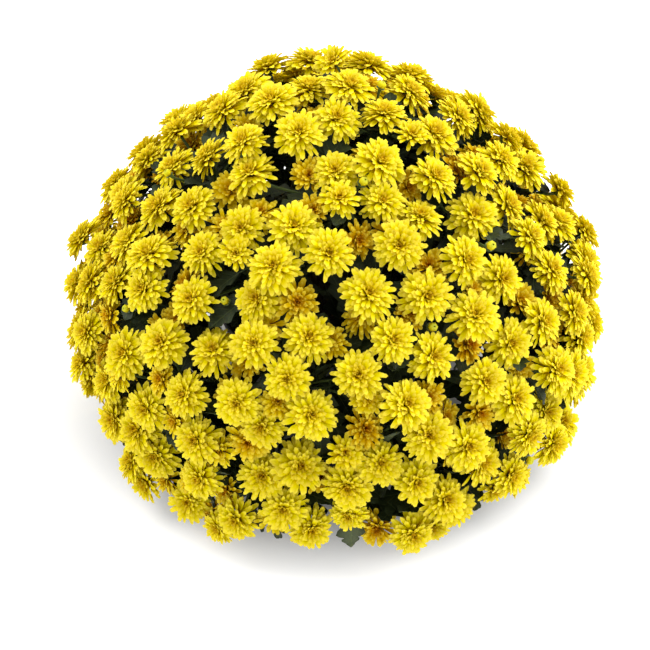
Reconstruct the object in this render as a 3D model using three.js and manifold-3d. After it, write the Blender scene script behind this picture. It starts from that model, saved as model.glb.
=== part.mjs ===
// A pot chrysanthemum in flower: a round plastic pot, its soil, leafy stems that stand in the soil and
// fork, and one spray of double flower heads and buds on the end of each branch. Millimetres, +Z up,
// with the origin in the middle of the pot's underside.
import * as THREE from "three";
import { ConvexHull } from "three/addons/math/ConvexHull.js";
import Module from "manifold-3d";

const wasm = await Module();
wasm.setup();

// The dome of flowers
const DOME_RADIUS = 208; // at its widest
const WIDEST_HEIGHT = 152;
const DOME_RISE = 178; // from the widest level to the crown
const SKIRT_DROP = 118; // from the widest level to the lowest heads
const SKIRT_RADIUS = 194;
const DOME_POWER = 1.52; // 2 would be an ellipse, 1 a cone
const CROWN_SHARE = 0.7; // of the outline's steps
const OUTLINE_STEPS = 240;

// The pot and its soil
const POT_HEIGHT = 132;
const POT_BASE_RADIUS = 69;
const POT_TOP_RADIUS = 91;
const POT_WALL = 2;
const POT_FLOOR = 2.5;
const RIM_HEIGHT = 14;
const RIM_STEP = 3.5;
const POT_SIDES = 20;
const DRAIN_COUNT = 5;
const DRAIN_RADIUS = 6;
const DRAIN_CIRCLE = 46;
const DRAIN_SIDES = 6;
const SOIL_TOP = 114;
const FIT_GAP = 0.3;
const CUT_PAST = 1; // how far a cutter stands out of what it cuts

// Stems
const HOLE_DEPTH = 24;
const HOLE_SIDES = 5;
const HOLE_CLEARANCE = 1.2;
const STEM_RADIUS = 4;
const BRANCH_RADIUS = 2.6;
const STEM_SIDES = 4;
const STEM_STEPS = 3;
const BRANCH_STEPS = 3;
const BRANCH_REACH = 26; // straight run below a spray
const LONGEST_REACH = 0.45; // of the way from a fork to a spray
const NECK_HEIGHT = 6; // of a stem's first bend above the soil
const INNER_STEMS = { count: 3, hole: 15, bend: 19, bendHeight: 165, fork: 34, forkHeight: 222, turn: 0.4 };
const OUTER_STEMS = { count: 9, hole: 50, bend: 72, bendHeight: 163, fork: 103, forkHeight: 176, turn: 0 };
const INNER_SHARE = 0.25; // of the dome's area, counted from the crown

// Sprays
const SPRAY_COUNT = 36;
const SPRAY_LIFT = 0.3;
const HUB_DEPTH = 44; // of a spray's top fork, below the dome
const HUB_RADIUS = 6.5;
const PEDUNCLE_LENGTH = 24;
const PEDUNCLE_RADIUS = 2.4;
const PEDICEL_RADIUS = 1.1;
const PEDICEL_SIDES = 3;

// Flower heads: how many places they are spread over, how far a head may stray from its place, how
// many times it is tried there, its half width, its depth below the dome, how far it leans at random,
// how far it keeps from the middle of a larger head, the points of its rim, how high its middle stands
// as a share of its half width, whether its petals make the rim a star, the share of the dome's area
// above its first place, and the smallest cosine between its pedicel and its axis
const LARGE = {
  places: 230,
  stray: 12,
  tries: 60,
  radius: [16, 19],
  depth: [0, 14],
  lean: 0.3,
  apart: 0,
  points: 6,
  peak: 0.44,
  star: true,
  from: 0,
  straight: 0.5,
};
const SMALL = {
  places: 220,
  stray: 22,
  tries: 80,
  radius: [11.5, 15.5],
  depth: [4, 28],
  lean: 0.5,
  apart: 0.7,
  points: 5,
  peak: 0.38,
  star: false,
  from: 0,
  straight: 0.5,
};
const BUD = {
  places: 24,
  stray: 40,
  tries: 60,
  radius: [4, 5],
  depth: [2, 20],
  lean: 0.4,
  apart: 1.1,
  points: 4,
  peak: 1.1,
  star: false,
  from: 0,
  straight: 0.5,
};
const LOW = {
  places: 12,
  stray: 14,
  tries: 80,
  radius: [12.5, 16],
  depth: [0, 24],
  lean: 0.5,
  apart: 0.7,
  points: 5,
  peak: 0.38,
  star: false,
  from: 0.9,
  straight: 0.3,
};
const HEAD_LIFT = 0.55;
const HEAD_RISE = 0.46; // of the half width, from the rim up to the middle
const HEAD_BELOW = 0.24;
const HEAD_GAP = 0.9;
const LOWEST_HEAD = 9; // how near the ground a head may hang
const CALYX_RADIUS = 1.65;
const VALLEY = 0.72; // between two petals, as a share of the half width
const VALLEY_LIFT = 0.17;
const PEDICEL_GAP = 0.8;
const PEDICEL_STEP = 3.5; // between the places where a pedicel is tested
const PEDICELS_MEET = 4; // between the middles of two pedicels of different sprays
const NEARBY = 110;
const WIDEST_SPREAD = -0.3; // cosine between a pedicel and its spray's axis
const PEDICELS_APART = Math.cos(2.1 * Math.asin(PEDICEL_RADIUS / HUB_RADIUS));

// Rows of points that test a head's skin: how far across it, how far along its axis, and how many
const HEAD_TESTS = [
  [1, 0, 14],
  [0.72, 0.22, 10],
  [0.72, -0.12, 10],
  [0.38, 0.4, 5],
  [0.38, -0.2, 5],
];

// Hollows, where no head stands and the leaves show: the share of the dome's area above the place, its
// angle in degrees and the hollow's radius
const HOLLOWS = [
  [0.03, -138, 8],
  [0.11, -80, 8],
  [0.12, -112, 8],
  [0.18, -62, 9],
  [0.28, -92, 11],
  [0.31, -61, 8],
  [0.35, -115, 10],
  [0.41, -76, 10],
  [0.62, -98, 11],
  [0.79, -113, 8],
  [0.15, 40, 8],
  [0.33, 80, 8],
  [0.48, 28, 7],
  [0.52, 112, 8],
  [0.38, 175, 8],
  [0.7, 158, 7],
];
const HOLLOW_REACH = 0.5; // of a head's half width, that keeps out of a hollow
const HOLLOW_DEPTH = 60;

// Leaves
const LEAVES_A_STEM = 3;
const LEAF_TRIES = 60;
const LEAF_LENGTH = [36, 48];
const LEAF_THICKNESS = 1.8;
const LEAF_ROOT = -1;
const LEAF_CLEARANCE = 4.6;
const LEAF_DROOP = 0.16;
const LEAF_MIDDLE = 0.52;
const LEAF_OFF_HEADS = 2;
const LEAF_OFF_LEAVES = 6.1;
const LEAF_OFF_HUBS = 4;
const LEAF_OFF_POT = 12;
const LEAF_OVER_POT = 6;
const LOWEST_LEAF = 30;
const WOOD_STEP = 4;
// The part of a branch that leaves stand on, and how far they turn along it
const LEAF_PLACES = [0.2, 0.8];
const LEAF_SPREAD = [0.25, 1.15];
const LEAF_TESTS = [0.25, 0.4, 0.55, 0.7, 0.85];
const LEAF_TESTS_ACROSS = [-0.22, -0.11, 0, 0.11, 0.22];
// One side of a leaf's cut edge, as shares of its length along it and across it
const LEAF_EDGE = [
  [0.36, 0.26],
  [0.5, 0.14],
  [0.68, 0.25],
  [0.78, 0.12],
];

const SEED = 97999;
const GOLDEN_ANGLE = Math.PI * (3 - Math.sqrt(5));
const UP = new THREE.Vector3(0, 0, 1);

let randomState = SEED;

function random() {
  randomState = (randomState * 16807) % 2147483647;
  return randomState / 2147483647;
}

function between([low, high]) {
  return low + (high - low) * random();
}

function polar(radius, angle, height) {
  return new THREE.Vector3(radius * Math.cos(angle), radius * Math.sin(angle), height);
}

// The dome's outline: t runs from 0 at the crown to 1 at the skirt's lower edge.
function outline(t) {
  if (t < CROWN_SHARE) {
    const rise = DOME_RISE * Math.cos((Math.PI / 2) * (t / CROWN_SHARE));
    const share = 1 - (rise / DOME_RISE) ** DOME_POWER;
    return [DOME_RADIUS * share ** (1 / DOME_POWER), WIDEST_HEIGHT + rise];
  }
  const drop = (t - CROWN_SHARE) / (1 - CROWN_SHARE);
  return [DOME_RADIUS - (DOME_RADIUS - SKIRT_RADIUS) * drop * drop, WIDEST_HEIGHT - SKIRT_DROP * drop];
}

// The area of the dome above each step of its outline, as a share of the whole
function areaShares() {
  const shares = [0];
  for (let i = 1; i <= OUTLINE_STEPS; i++) {
    const [r0, z0] = outline((i - 1) / OUTLINE_STEPS);
    const [r1, z1] = outline(i / OUTLINE_STEPS);
    shares.push(shares[i - 1] + ((r0 + r1) / 2) * Math.hypot(r1 - r0, z1 - z0));
  }
  return shares.map((a) => a / shares[OUTLINE_STEPS]);
}

const AREA_SHARES = areaShares();

// The point of the dome that has the given share of its area above it, and the direction out of it
function onDome(share, angle) {
  const i = Math.max(1, AREA_SHARES.findIndex((a) => a >= share));
  const part = (share - AREA_SHARES[i - 1]) / (AREA_SHARES[i] - AREA_SHARES[i - 1]);
  const [r0, z0] = outline((i - 1) / OUTLINE_STEPS);
  const [r1, z1] = outline(i / OUTLINE_STEPS);
  const point = polar(r0 + (r1 - r0) * part, angle, z0 + (z1 - z0) * part);
  const out = polar(z0 - z1, angle, r1 - r0).normalize();
  return { point, out };
}

// Two directions square to the given one
function sides(axis, hint) {
  const u = new THREE.Vector3().crossVectors(axis, hint);
  if (u.lengthSq() < 1e-6) u.crossVectors(axis, new THREE.Vector3(1, 0, 0));
  u.normalize();
  return [u, new THREE.Vector3().crossVectors(axis, u)];
}

// --- Where everything grows ---

function makeSprays() {
  const sprays = [];
  for (let k = 0; k < SPRAY_COUNT; k++) {
    const share = (k + 0.5) / SPRAY_COUNT;
    const angle = k * GOLDEN_ANGLE;
    const { point, out } = onDome(share, angle);
    const axis = out.clone().addScaledVector(UP, SPRAY_LIFT).normalize();
    const hub = point.clone().addScaledVector(axis, -HUB_DEPTH);
    const foot = hub.clone().addScaledVector(axis, -PEDUNCLE_LENGTH);
    sprays.push({ share, angle, axis, hub, foot, heads: [] });
  }
  return sprays;
}

function nearestSpray(sprays, point) {
  let best = sprays[0];
  for (const spray of sprays) {
    if (spray.hub.distanceToSquared(point) < best.hub.distanceToSquared(point)) best = spray;
  }
  return best;
}

// Whether a point is inside a head, or nearer to it than the margin
function insideHead(head, point, margin) {
  const x = point.x - head.centre.x;
  const y = point.y - head.centre.y;
  const z = point.z - head.centre.z;
  const along = x * head.axis.x + y * head.axis.y + z * head.axis.z;
  const across = Math.sqrt(Math.max(0, x * x + y * y + z * z - along * along));
  const share = across / head.radius;
  if (across > head.radius + margin) return false;
  const bulge = Math.max(0, 1 - share * share) * head.radius;
  return along < HEAD_RISE * bulge + margin && along > -HEAD_BELOW * bulge - margin;
}

// Points spread over a head's skin, for testing
function headSamples(centre, axis, radius) {
  const [u, v] = sides(axis, UP);
  const samples = [];
  for (const [across, along, count] of HEAD_TESTS) {
    for (let i = 0; i < count; i++) {
      const turn = (2 * Math.PI * i) / count;
      samples.push(
        centre
          .clone()
          .addScaledVector(u, radius * across * Math.cos(turn))
          .addScaledVector(v, radius * across * Math.sin(turn))
          .addScaledVector(axis, radius * along),
      );
    }
  }
  return samples;
}

// How far from a ball's middle a circle of the given radius lies on it
function chord(ballRadius, circleRadius) {
  return Math.sqrt(ballRadius * ballRadius - circleRadius * circleRadius);
}

function alongLine(from, to, step) {
  const count = Math.max(2, Math.ceil(from.distanceTo(to) / step));
  return Array.from({ length: count + 1 }, (_, i) => from.clone().lerp(to, i / count));
}

function headsClear(a, b) {
  if (a.centre.distanceTo(b.centre) > a.radius + b.radius + HEAD_GAP) return true;
  return (
    !a.samples.some((p) => insideHead(b, p, HEAD_GAP)) && !b.samples.some((p) => insideHead(a, p, HEAD_GAP))
  );
}

function pedicelClear(line, head) {
  return !line.some((p) => insideHead(head, p, PEDICEL_RADIUS + PEDICEL_GAP));
}

function linesClear(a, b, reach) {
  return !a.some((p) => b.some((q) => p.distanceToSquared(q) < reach * reach));
}

// One head of the given sort near its place on the dome, with its pedicel
function drawHead(sort, place, sprays) {
  const share = sort.from + (1 - sort.from) * ((place + 0.5) / sort.places);
  const { point, out } = onDome(share, place * GOLDEN_ANGLE);
  const [u, v] = sides(out, UP);
  const radius = between(sort.radius);
  const depth = between(sort.depth);
  const lean = new THREE.Vector3(random() - 0.5, random() - 0.5, random() - 0.5);
  const axis = out
    .clone()
    .addScaledVector(UP, HEAD_LIFT * (1 - out.z))
    .addScaledVector(lean, 2 * sort.lean)
    .normalize();
  const centre = point
    .addScaledVector(out, -depth)
    .addScaledVector(u, sort.stray * (2 * random() - 1))
    .addScaledVector(v, sort.stray * (2 * random() - 1));
  const turn = 2 * Math.PI * random();
  const calyx = centre.clone().addScaledVector(axis, -HEAD_BELOW * radius);
  const spray = nearestSpray(sprays, calyx);
  const rise = calyx.clone().sub(spray.hub).normalize();
  const root = spray.hub.clone().addScaledVector(rise, chord(HUB_RADIUS, PEDICEL_RADIUS));
  return { sort, out, centre, axis, radius, turn, calyx, root, rise, spray };
}

// Whether a head stands in front of the middle of one that was placed before it, or behind it
function overlaps(head, other) {
  const away = head.centre.clone().sub(other.centre);
  away.addScaledVector(head.out, -away.dot(head.out));
  return away.length() < head.sort.apart * other.radius;
}

// Whether a head would stand in a hollow
function inHollow(head, hollow) {
  const away = head.centre.clone().sub(hollow.point);
  const along = away.dot(hollow.out);
  away.addScaledVector(hollow.out, -along);
  return Math.abs(along) < HOLLOW_DEPTH && away.length() < hollow.radius + HOLLOW_REACH * head.radius;
}

function fits(head, heads) {
  if (head.rise.dot(head.axis) < head.sort.straight) return false;
  if (head.rise.dot(head.spray.axis) < WIDEST_SPREAD) return false;
  if (head.spray.heads.some((h) => h.rise.dot(head.rise) > PEDICELS_APART)) return false;
  if (head.sort !== BUD && hollows.some((hollow) => inHollow(head, hollow))) return false;
  const near = heads.filter((h) => h.centre.distanceTo(head.centre) < NEARBY);
  if (near.some((h) => overlaps(head, h))) return false;
  head.samples = headSamples(head.centre, head.axis, head.radius);
  if (head.samples.some((p) => p.z < LOWEST_HEAD)) return false;
  if (near.some((h) => !headsClear(h, head))) return false;
  head.line = alongLine(head.calyx, head.root, PEDICEL_STEP);
  if (near.some((h) => !pedicelClear(head.line, h) || !pedicelClear(h.line, head))) return false;
  const others = near.filter((h) => h.spray !== head.spray);
  return others.every((h) => linesClear(h.line, head.line, PEDICELS_MEET));
}

function addHeads(sort, sprays, heads) {
  for (let place = 0; place < sort.places; place++) {
    for (let i = 0; i < sort.tries; i++) {
      const head = drawHead(sort, place, sprays);
      if (!fits(head, heads)) continue;
      heads.push(head);
      head.spray.heads.push(head);
      break;
    }
  }
}

// The leafy stems: each forks into branches that reach the feet of the sprays in its sector.
function makeStems(sprays) {
  const stems = [];
  for (const ring of [INNER_STEMS, OUTER_STEMS]) {
    for (let i = 0; i < ring.count; i++) {
      const angle = (2 * Math.PI * (i + ring.turn)) / ring.count;
      stems.push({
        angle,
        sector: Math.PI / ring.count,
        inner: ring === INNER_STEMS,
        hole: polar(ring.hole, angle, SOIL_TOP),
        bend: polar(ring.bend, angle, ring.bendHeight),
        fork: polar(ring.fork, angle, ring.forkHeight),
        branches: [],
        leaves: [],
      });
    }
  }
  for (const spray of sprays) {
    const inner = spray.share < INNER_SHARE;
    const stem = stems.find((s) => {
      const away = Math.atan2(Math.sin(spray.angle - s.angle), Math.cos(spray.angle - s.angle));
      return s.inner === inner && Math.abs(away) <= s.sector + 1e-9;
    });
    stem.branches.push(branchTo(stem, spray));
  }
  return stems;
}

function branchTo(stem, spray) {
  const top = spray.foot.clone().addScaledVector(spray.axis, -FIT_GAP);
  const reach = Math.min(BRANCH_REACH, LONGEST_REACH * top.distanceTo(stem.fork));
  const curve = new THREE.QuadraticBezierCurve3(
    stem.fork,
    top.clone().addScaledVector(spray.axis, -reach),
    top,
  );
  return { spray, points: curve.getPoints(BRANCH_STEPS), axis: spray.axis };
}

// A leaf's own frame: it starts on a branch, runs out along one direction and lies square to another.
function drawLeaf(stem) {
  const branch = stem.branches[Math.floor(random() * stem.branches.length)];
  const spot = between(LEAF_PLACES) * BRANCH_STEPS;
  const i = Math.min(BRANCH_STEPS - 1, Math.floor(spot));
  const start = branch.points[i].clone().lerp(branch.points[i + 1], spot - i);
  const along = branch.points[i + 1].clone().sub(branch.points[i]).normalize();
  const [u, v] = sides(along, UP);
  const turn = 2 * Math.PI * random();
  const out = along
    .clone()
    .multiplyScalar(between(LEAF_SPREAD))
    .addScaledVector(u, Math.cos(turn))
    .addScaledVector(v, Math.sin(turn))
    .normalize();
  const length = between(LEAF_LENGTH);
  const [across] = sides(out, UP);
  const face = new THREE.Vector3().crossVectors(out, across).negate();
  return { start, out, across, face: face.z < 0 ? face.negate() : face, length };
}

function leafPoint(leaf, along, across) {
  const x = along * leaf.length;
  const droop = -LEAF_DROOP * along * along * leaf.length;
  return leaf.start
    .clone()
    .addScaledVector(leaf.out, x)
    .addScaledVector(leaf.across, across * leaf.length)
    .addScaledVector(leaf.face, droop);
}

function leafSamples(leaf) {
  const row = (along) => LEAF_TESTS_ACROSS.map((across) => leafPoint(leaf, along, across));
  return [...LEAF_TESTS.flatMap(row), leafPoint(leaf, 1, 0)];
}

function overPot(point) {
  const across = Math.hypot(point.x, point.y);
  return across < POT_TOP_RADIUS + LEAF_OFF_POT && point.z < POT_HEIGHT + LEAF_OVER_POT;
}

function addLeaves(stems, heads) {
  const wood = [];
  const hubs = stems.flatMap((stem) => stem.branches.map((branch) => branch.spray.hub));
  for (const stem of stems) {
    wood.push(...alongLine(stem.hole, stem.bend, WOOD_STEP), ...alongLine(stem.bend, stem.fork, WOOD_STEP));
    for (const branch of stem.branches) {
      branch.points.slice(1).forEach((p, i) => wood.push(...alongLine(branch.points[i], p, WOOD_STEP)));
      const tip = branch.spray.hub.clone().addScaledVector(branch.axis, HUB_RADIUS);
      wood.push(...alongLine(branch.spray.foot, tip, WOOD_STEP));
    }
  }
  for (const head of heads) wood.push(...head.line);
  const blades = [];
  for (const stem of stems) {
    for (let i = 0; i < LEAF_TRIES && stem.leaves.length < LEAVES_A_STEM; i++) {
      const leaf = drawLeaf(stem);
      const samples = leafSamples(leaf);
      if (samples.some(overPot) || samples.some((p) => p.z < LOWEST_LEAF)) continue;
      if (!linesClear(samples, wood, LEAF_CLEARANCE)) continue;
      if (!linesClear(samples, hubs, HUB_RADIUS + LEAF_OFF_HUBS)) continue;
      if (!linesClear(samples, blades, LEAF_OFF_LEAVES)) continue;
      if (heads.some((h) => samples.some((p) => insideHead(h, p, LEAF_OFF_HEADS)))) continue;
      blades.push(...samples);
      stem.leaves.push(leaf);
    }
  }
}

// --- Solids ---

// A closed skin, put together from rings of points that run anticlockwise as seen from its top end
class Skin {
  constructor() {
    this.points = [];
    this.faces = [];
  }

  ring(points) {
    return points.map((p) => this.points.push(p) - 1);
  }

  // Joins a lower ring to an upper one, which may have fewer or more points.
  bridge(lower, upper) {
    const n = lower.length;
    const m = upper.length;
    let i = 0;
    let j = 0;
    while (i < n || j < m) {
      const a = lower[i % n];
      const b = upper[j % m];
      if (j === m || (i < n && (i + 1) / n <= (j + 1) / m)) this.faces.push(a, lower[++i % n], b);
      else this.faces.push(a, upper[++j % m], b);
    }
  }

  // Closes the top with a fan to a point
  peak(ring, point) {
    const [tip] = this.ring([point]);
    ring.forEach((a, i) => this.faces.push(a, ring[(i + 1) % ring.length], tip));
  }

  // Covers a ball between the rings that lie on it, and leaves each ring open
  cover(rings) {
    const ringOf = new Map();
    rings.forEach((ring, i) => ring.forEach((index) => ringOf.set(this.points[index], [index, i])));
    const hull = new ConvexHull().setFromPoints([...ringOf.keys()]);
    for (const { edge } of hull.faces) {
      const corners = [edge.prev, edge, edge.next].map((e) => ringOf.get(e.head().point));
      const ringsMet = new Set(corners.map(([, i]) => i));
      if (ringsMet.size > 1) this.faces.push(...corners.map(([index]) => index));
    }
  }

  closeTop(ring) {
    for (let i = 1; i < ring.length - 1; i++) this.faces.push(ring[0], ring[i], ring[i + 1]);
  }

  closeBottom(ring) {
    for (let i = 1; i < ring.length - 1; i++) this.faces.push(ring[0], ring[i + 1], ring[i]);
  }

  solid() {
    const vertProperties = new Float32Array(this.points.flatMap((p) => [p.x, p.y, p.z]));
    const triVerts = new Uint32Array(this.faces);
    return new wasm.Manifold(new wasm.Mesh({ numProp: 3, vertProperties, triVerts }));
  }
}

function circle(centre, u, v, radius, count) {
  return Array.from({ length: count }, (_, i) => {
    const angle = (2 * Math.PI * i) / count;
    return centre
      .clone()
      .addScaledVector(u, radius * Math.cos(angle))
      .addScaledVector(v, radius * Math.sin(angle));
  });
}

// A stem through the points, thinning from one radius to another, with its top end square to endAxis
function rod(points, startRadius, endRadius, count, endAxis) {
  const skin = new Skin();
  const last = points.length - 1;
  let previous = null;
  let u = null;
  points.forEach((point, i) => {
    const ahead = points[Math.min(last, i + 1)];
    const behind = points[Math.max(0, i - 1)];
    const along = i === last && endAxis ? endAxis : ahead.clone().sub(behind).normalize();
    if (u) u.addScaledVector(along, -u.dot(along)).normalize();
    else [u] = sides(along, UP);
    const v = new THREE.Vector3().crossVectors(along, u);
    const radius = startRadius + (endRadius - startRadius) * (i / last);
    const ring = skin.ring(circle(point, u, v, radius, count));
    if (previous) skin.bridge(previous, ring);
    else skin.closeBottom(ring);
    previous = ring;
  });
  skin.closeTop(previous);
  return skin.solid();
}

// Adds a head on its pedicel, and gives back the ring that the pedicel starts from.
function addHead(skin, head) {
  const { centre, axis, radius, sort, turn } = head;
  let side = new THREE.Vector3().crossVectors(head.rise, axis);
  if (side.lengthSq() < 1e-4) [side] = sides(axis, UP);
  side.normalize();
  const rootSide = new THREE.Vector3().crossVectors(head.rise, side);
  const headSide = new THREE.Vector3().crossVectors(axis, side);
  const root = skin.ring(circle(head.root, side, rootSide, PEDICEL_RADIUS, PEDICEL_SIDES));
  const calyx = skin.ring(circle(head.calyx, side, headSide, CALYX_RADIUS, PEDICEL_SIDES));
  skin.bridge(root, calyx);
  const at = (across, along, angle) =>
    centre
      .clone()
      .addScaledVector(side, radius * across * Math.cos(angle))
      .addScaledVector(headSide, radius * across * Math.sin(angle))
      .addScaledVector(axis, radius * along);
  const step = Math.PI / sort.points;
  const first = (turn % (2 * step)) - step;
  const edge = [];
  for (let i = 0; i < sort.points; i++) {
    edge.push(at(1, 0, first + 2 * i * step));
    if (sort.star) edge.push(at(VALLEY, VALLEY_LIFT, first + (2 * i + 1) * step));
  }
  const rim = skin.ring(edge);
  skin.bridge(calyx, rim);
  skin.peak(rim, at(0, sort.peak, 0));
  return root;
}

function leafSolid(leaf) {
  const skin = new Skin();
  const edge = [leafPoint(leaf, LEAF_ROOT / leaf.length, 0)];
  for (const [along, across] of LEAF_EDGE) edge.push(leafPoint(leaf, along, -across));
  edge.push(leafPoint(leaf, 1, 0));
  for (const [along, across] of LEAF_EDGE.toReversed()) edge.push(leafPoint(leaf, along, across));
  const turnsUp = new THREE.Vector3().crossVectors(leaf.out, leaf.across).dot(leaf.face) > 0;
  const ring = skin.ring(turnsUp ? edge : edge.reverse());
  const middle = leafPoint(leaf, LEAF_MIDDLE, 0);
  skin.peak(ring, middle.clone().addScaledVector(leaf.face, LEAF_THICKNESS / 2));
  skin.peak(ring.toReversed(), middle.clone().addScaledVector(leaf.face, -LEAF_THICKNESS / 2));
  return skin.solid();
}

function joined(solids) {
  return solids.reduce((whole, solid) => whole.add(solid));
}

function spraySolid(spray) {
  const skin = new Skin();
  const [u, v] = sides(spray.axis, UP);
  const top = spray.hub.clone().addScaledVector(spray.axis, -chord(HUB_RADIUS, PEDUNCLE_RADIUS));
  const foot = skin.ring(circle(spray.foot, u, v, PEDUNCLE_RADIUS, STEM_SIDES));
  const neck = skin.ring(circle(top, u, v, PEDUNCLE_RADIUS, STEM_SIDES));
  skin.closeBottom(foot);
  skin.bridge(foot, neck);
  skin.cover([neck, ...spray.heads.map((head) => addHead(skin, head))]);
  return skin.solid();
}

function stemSolid(stem) {
  const foot = stem.hole.clone().addScaledVector(UP, FIT_GAP - HOLE_DEPTH);
  const neck = stem.hole.clone().addScaledVector(UP, NECK_HEIGHT);
  const curve = new THREE.CatmullRomCurve3([neck, stem.bend, stem.fork]);
  const [leader, ...others] = stem.branches;
  const points = [foot, ...curve.getPoints(STEM_STEPS), ...leader.points.slice(1)];
  const trunk = rod(points, STEM_RADIUS, PEDUNCLE_RADIUS, STEM_SIDES, leader.axis);
  const branches = others.map((b) => rod(b.points, BRANCH_RADIUS, PEDUNCLE_RADIUS, STEM_SIDES, b.axis));
  return joined([trunk, ...branches, ...stem.leaves.map(leafSolid)]);
}

// A turned solid from its outline of [radius, height] points, which starts and ends on the axis
function turned(profile, count) {
  const geometry = new THREE.LatheGeometry(
    profile.map(([r, z]) => new THREE.Vector2(r, z)),
    count,
  );
  geometry.rotateX(Math.PI / 2);
  return solidOf(geometry);
}

function solidOf(geometry) {
  const position = geometry.getAttribute("position");
  const found = new Map();
  const points = [];
  const place = [];
  for (let i = 0; i < position.count; i++) {
    const p = new THREE.Vector3().fromBufferAttribute(position, i);
    const key = p.toArray().map((c) => Math.round(c * 1e4)).join();
    if (!found.has(key)) found.set(key, points.push(p) - 1);
    place.push(found.get(key));
  }
  const skin = new Skin();
  skin.points = points;
  const index = geometry.index.array;
  for (let i = 0; i < index.length; i += 3) {
    const face = [place[index[i]], place[index[i + 1]], place[index[i + 2]]];
    if (new Set(face).size === 3) skin.faces.push(...face);
  }
  return skin.solid();
}

function upright(radius, bottom, top, x, y, count) {
  const geometry = new THREE.CylinderGeometry(radius, radius, top - bottom, count);
  geometry.rotateX(Math.PI / 2);
  geometry.translate(x, y, (top + bottom) / 2);
  return solidOf(geometry);
}

function potRadius(height) {
  return POT_BASE_RADIUS + (POT_TOP_RADIUS - POT_BASE_RADIUS) * (height / POT_HEIGHT);
}

function potSolid() {
  const step = POT_HEIGHT - RIM_HEIGHT;
  const shell = turned(
    [
      [0, 0],
      [POT_BASE_RADIUS, 0],
      [potRadius(step), step],
      [potRadius(step) + RIM_STEP, step],
      [POT_TOP_RADIUS + RIM_STEP, POT_HEIGHT],
      [POT_TOP_RADIUS + RIM_STEP - POT_WALL, POT_HEIGHT],
      [potRadius(step) + RIM_STEP - POT_WALL, step + POT_WALL],
      [potRadius(step) - POT_WALL, step],
      [potRadius(POT_FLOOR) - POT_WALL, POT_FLOOR],
      [0, POT_FLOOR],
    ],
    POT_SIDES,
  );
  let pot = shell;
  for (let i = 0; i < DRAIN_COUNT; i++) {
    const spot = polar(DRAIN_CIRCLE, (2 * Math.PI * i) / DRAIN_COUNT, 0);
    pot = pot.subtract(upright(DRAIN_RADIUS, -CUT_PAST, POT_FLOOR + CUT_PAST, spot.x, spot.y, DRAIN_SIDES));
  }
  return pot;
}

function soilSolid(stems) {
  const bottom = POT_FLOOR + FIT_GAP;
  let soil = turned(
    [
      [0, bottom],
      [potRadius(bottom) - POT_WALL - FIT_GAP, bottom],
      [potRadius(SOIL_TOP) - POT_WALL - FIT_GAP, SOIL_TOP],
      [0, SOIL_TOP],
    ],
    POT_SIDES,
  );
  for (const { hole } of stems) {
    const radius = STEM_RADIUS + HOLE_CLEARANCE;
    const top = SOIL_TOP + CUT_PAST;
    soil = soil.subtract(upright(radius, SOIL_TOP - HOLE_DEPTH, top, hole.x, hole.y, HOLE_SIDES));
  }
  return soil;
}

// --- The plant ---

const PLASTIC = { color: 0x33352f, roughness: 0.5, metalness: 0 };
const EARTH = { color: 0x2a1d14, roughness: 0.95, metalness: 0 };
const GREEN = { color: 0x35471f, roughness: 0.7, metalness: 0 };
const YELLOW = { color: 0xe6c81a, roughness: 0.6, metalness: 0 };

function meshOf(name, solid, look) {
  const made = solid.getMesh();
  const geometry = new THREE.BufferGeometry();
  geometry.setAttribute("position", new THREE.BufferAttribute(made.vertProperties, 3));
  geometry.setIndex(new THREE.BufferAttribute(made.triVerts, 1));
  geometry.computeVertexNormals();
  const mesh = new THREE.Mesh(geometry, new THREE.MeshStandardMaterial(look));
  mesh.name = name;
  return mesh;
}

const hollows = HOLLOWS.map(([share, angle, radius]) => ({
  ...onDome(share, THREE.MathUtils.degToRad(angle)),
  radius,
}));
const sprays = makeSprays();
const stems = makeStems(sprays);
const heads = [];
for (const sort of [LARGE, SMALL, BUD, LOW]) addHeads(sort, sprays, heads);
addLeaves(stems, heads);

const group = new THREE.Group();
group.add(meshOf("pot", potSolid(), PLASTIC));
group.add(meshOf("soil", soilSolid(stems), EARTH));
stems.forEach((stem, i) => {
  const name = "leafy_stem_" + String(i + 1).padStart(2, "0");
  group.add(meshOf(name, stemSolid(stem), GREEN));
});
sprays.forEach((spray, i) => {
  const name = "flower_spray_" + String(i + 1).padStart(2, "0");
  group.add(meshOf(name, spraySolid(spray), YELLOW));
});

export default group;
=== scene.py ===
"""A pot chrysanthemum in flower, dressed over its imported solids: blooms, leafy growth, pot and soil."""

from math import asin, atan2, ceil, cos, hypot, pi, radians, sin, sqrt
from types import SimpleNamespace as Record

import bmesh
import bpy
import numpy as np
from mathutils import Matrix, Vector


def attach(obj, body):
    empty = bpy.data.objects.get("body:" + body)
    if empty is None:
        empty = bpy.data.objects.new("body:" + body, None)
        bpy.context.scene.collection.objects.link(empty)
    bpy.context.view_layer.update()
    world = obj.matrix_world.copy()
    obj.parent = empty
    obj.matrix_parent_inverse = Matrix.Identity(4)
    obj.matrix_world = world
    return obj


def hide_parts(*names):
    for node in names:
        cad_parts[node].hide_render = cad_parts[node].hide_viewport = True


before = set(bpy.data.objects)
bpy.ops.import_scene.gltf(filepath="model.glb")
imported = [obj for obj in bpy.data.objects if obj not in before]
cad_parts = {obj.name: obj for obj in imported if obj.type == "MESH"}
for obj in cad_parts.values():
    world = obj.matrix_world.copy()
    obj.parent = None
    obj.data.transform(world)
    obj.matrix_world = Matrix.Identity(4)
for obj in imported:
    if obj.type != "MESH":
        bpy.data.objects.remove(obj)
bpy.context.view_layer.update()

MM = 0.001

# --- Where everything grows, by the part's own sizes, in millimetres, and its own row of draws ---

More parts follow.
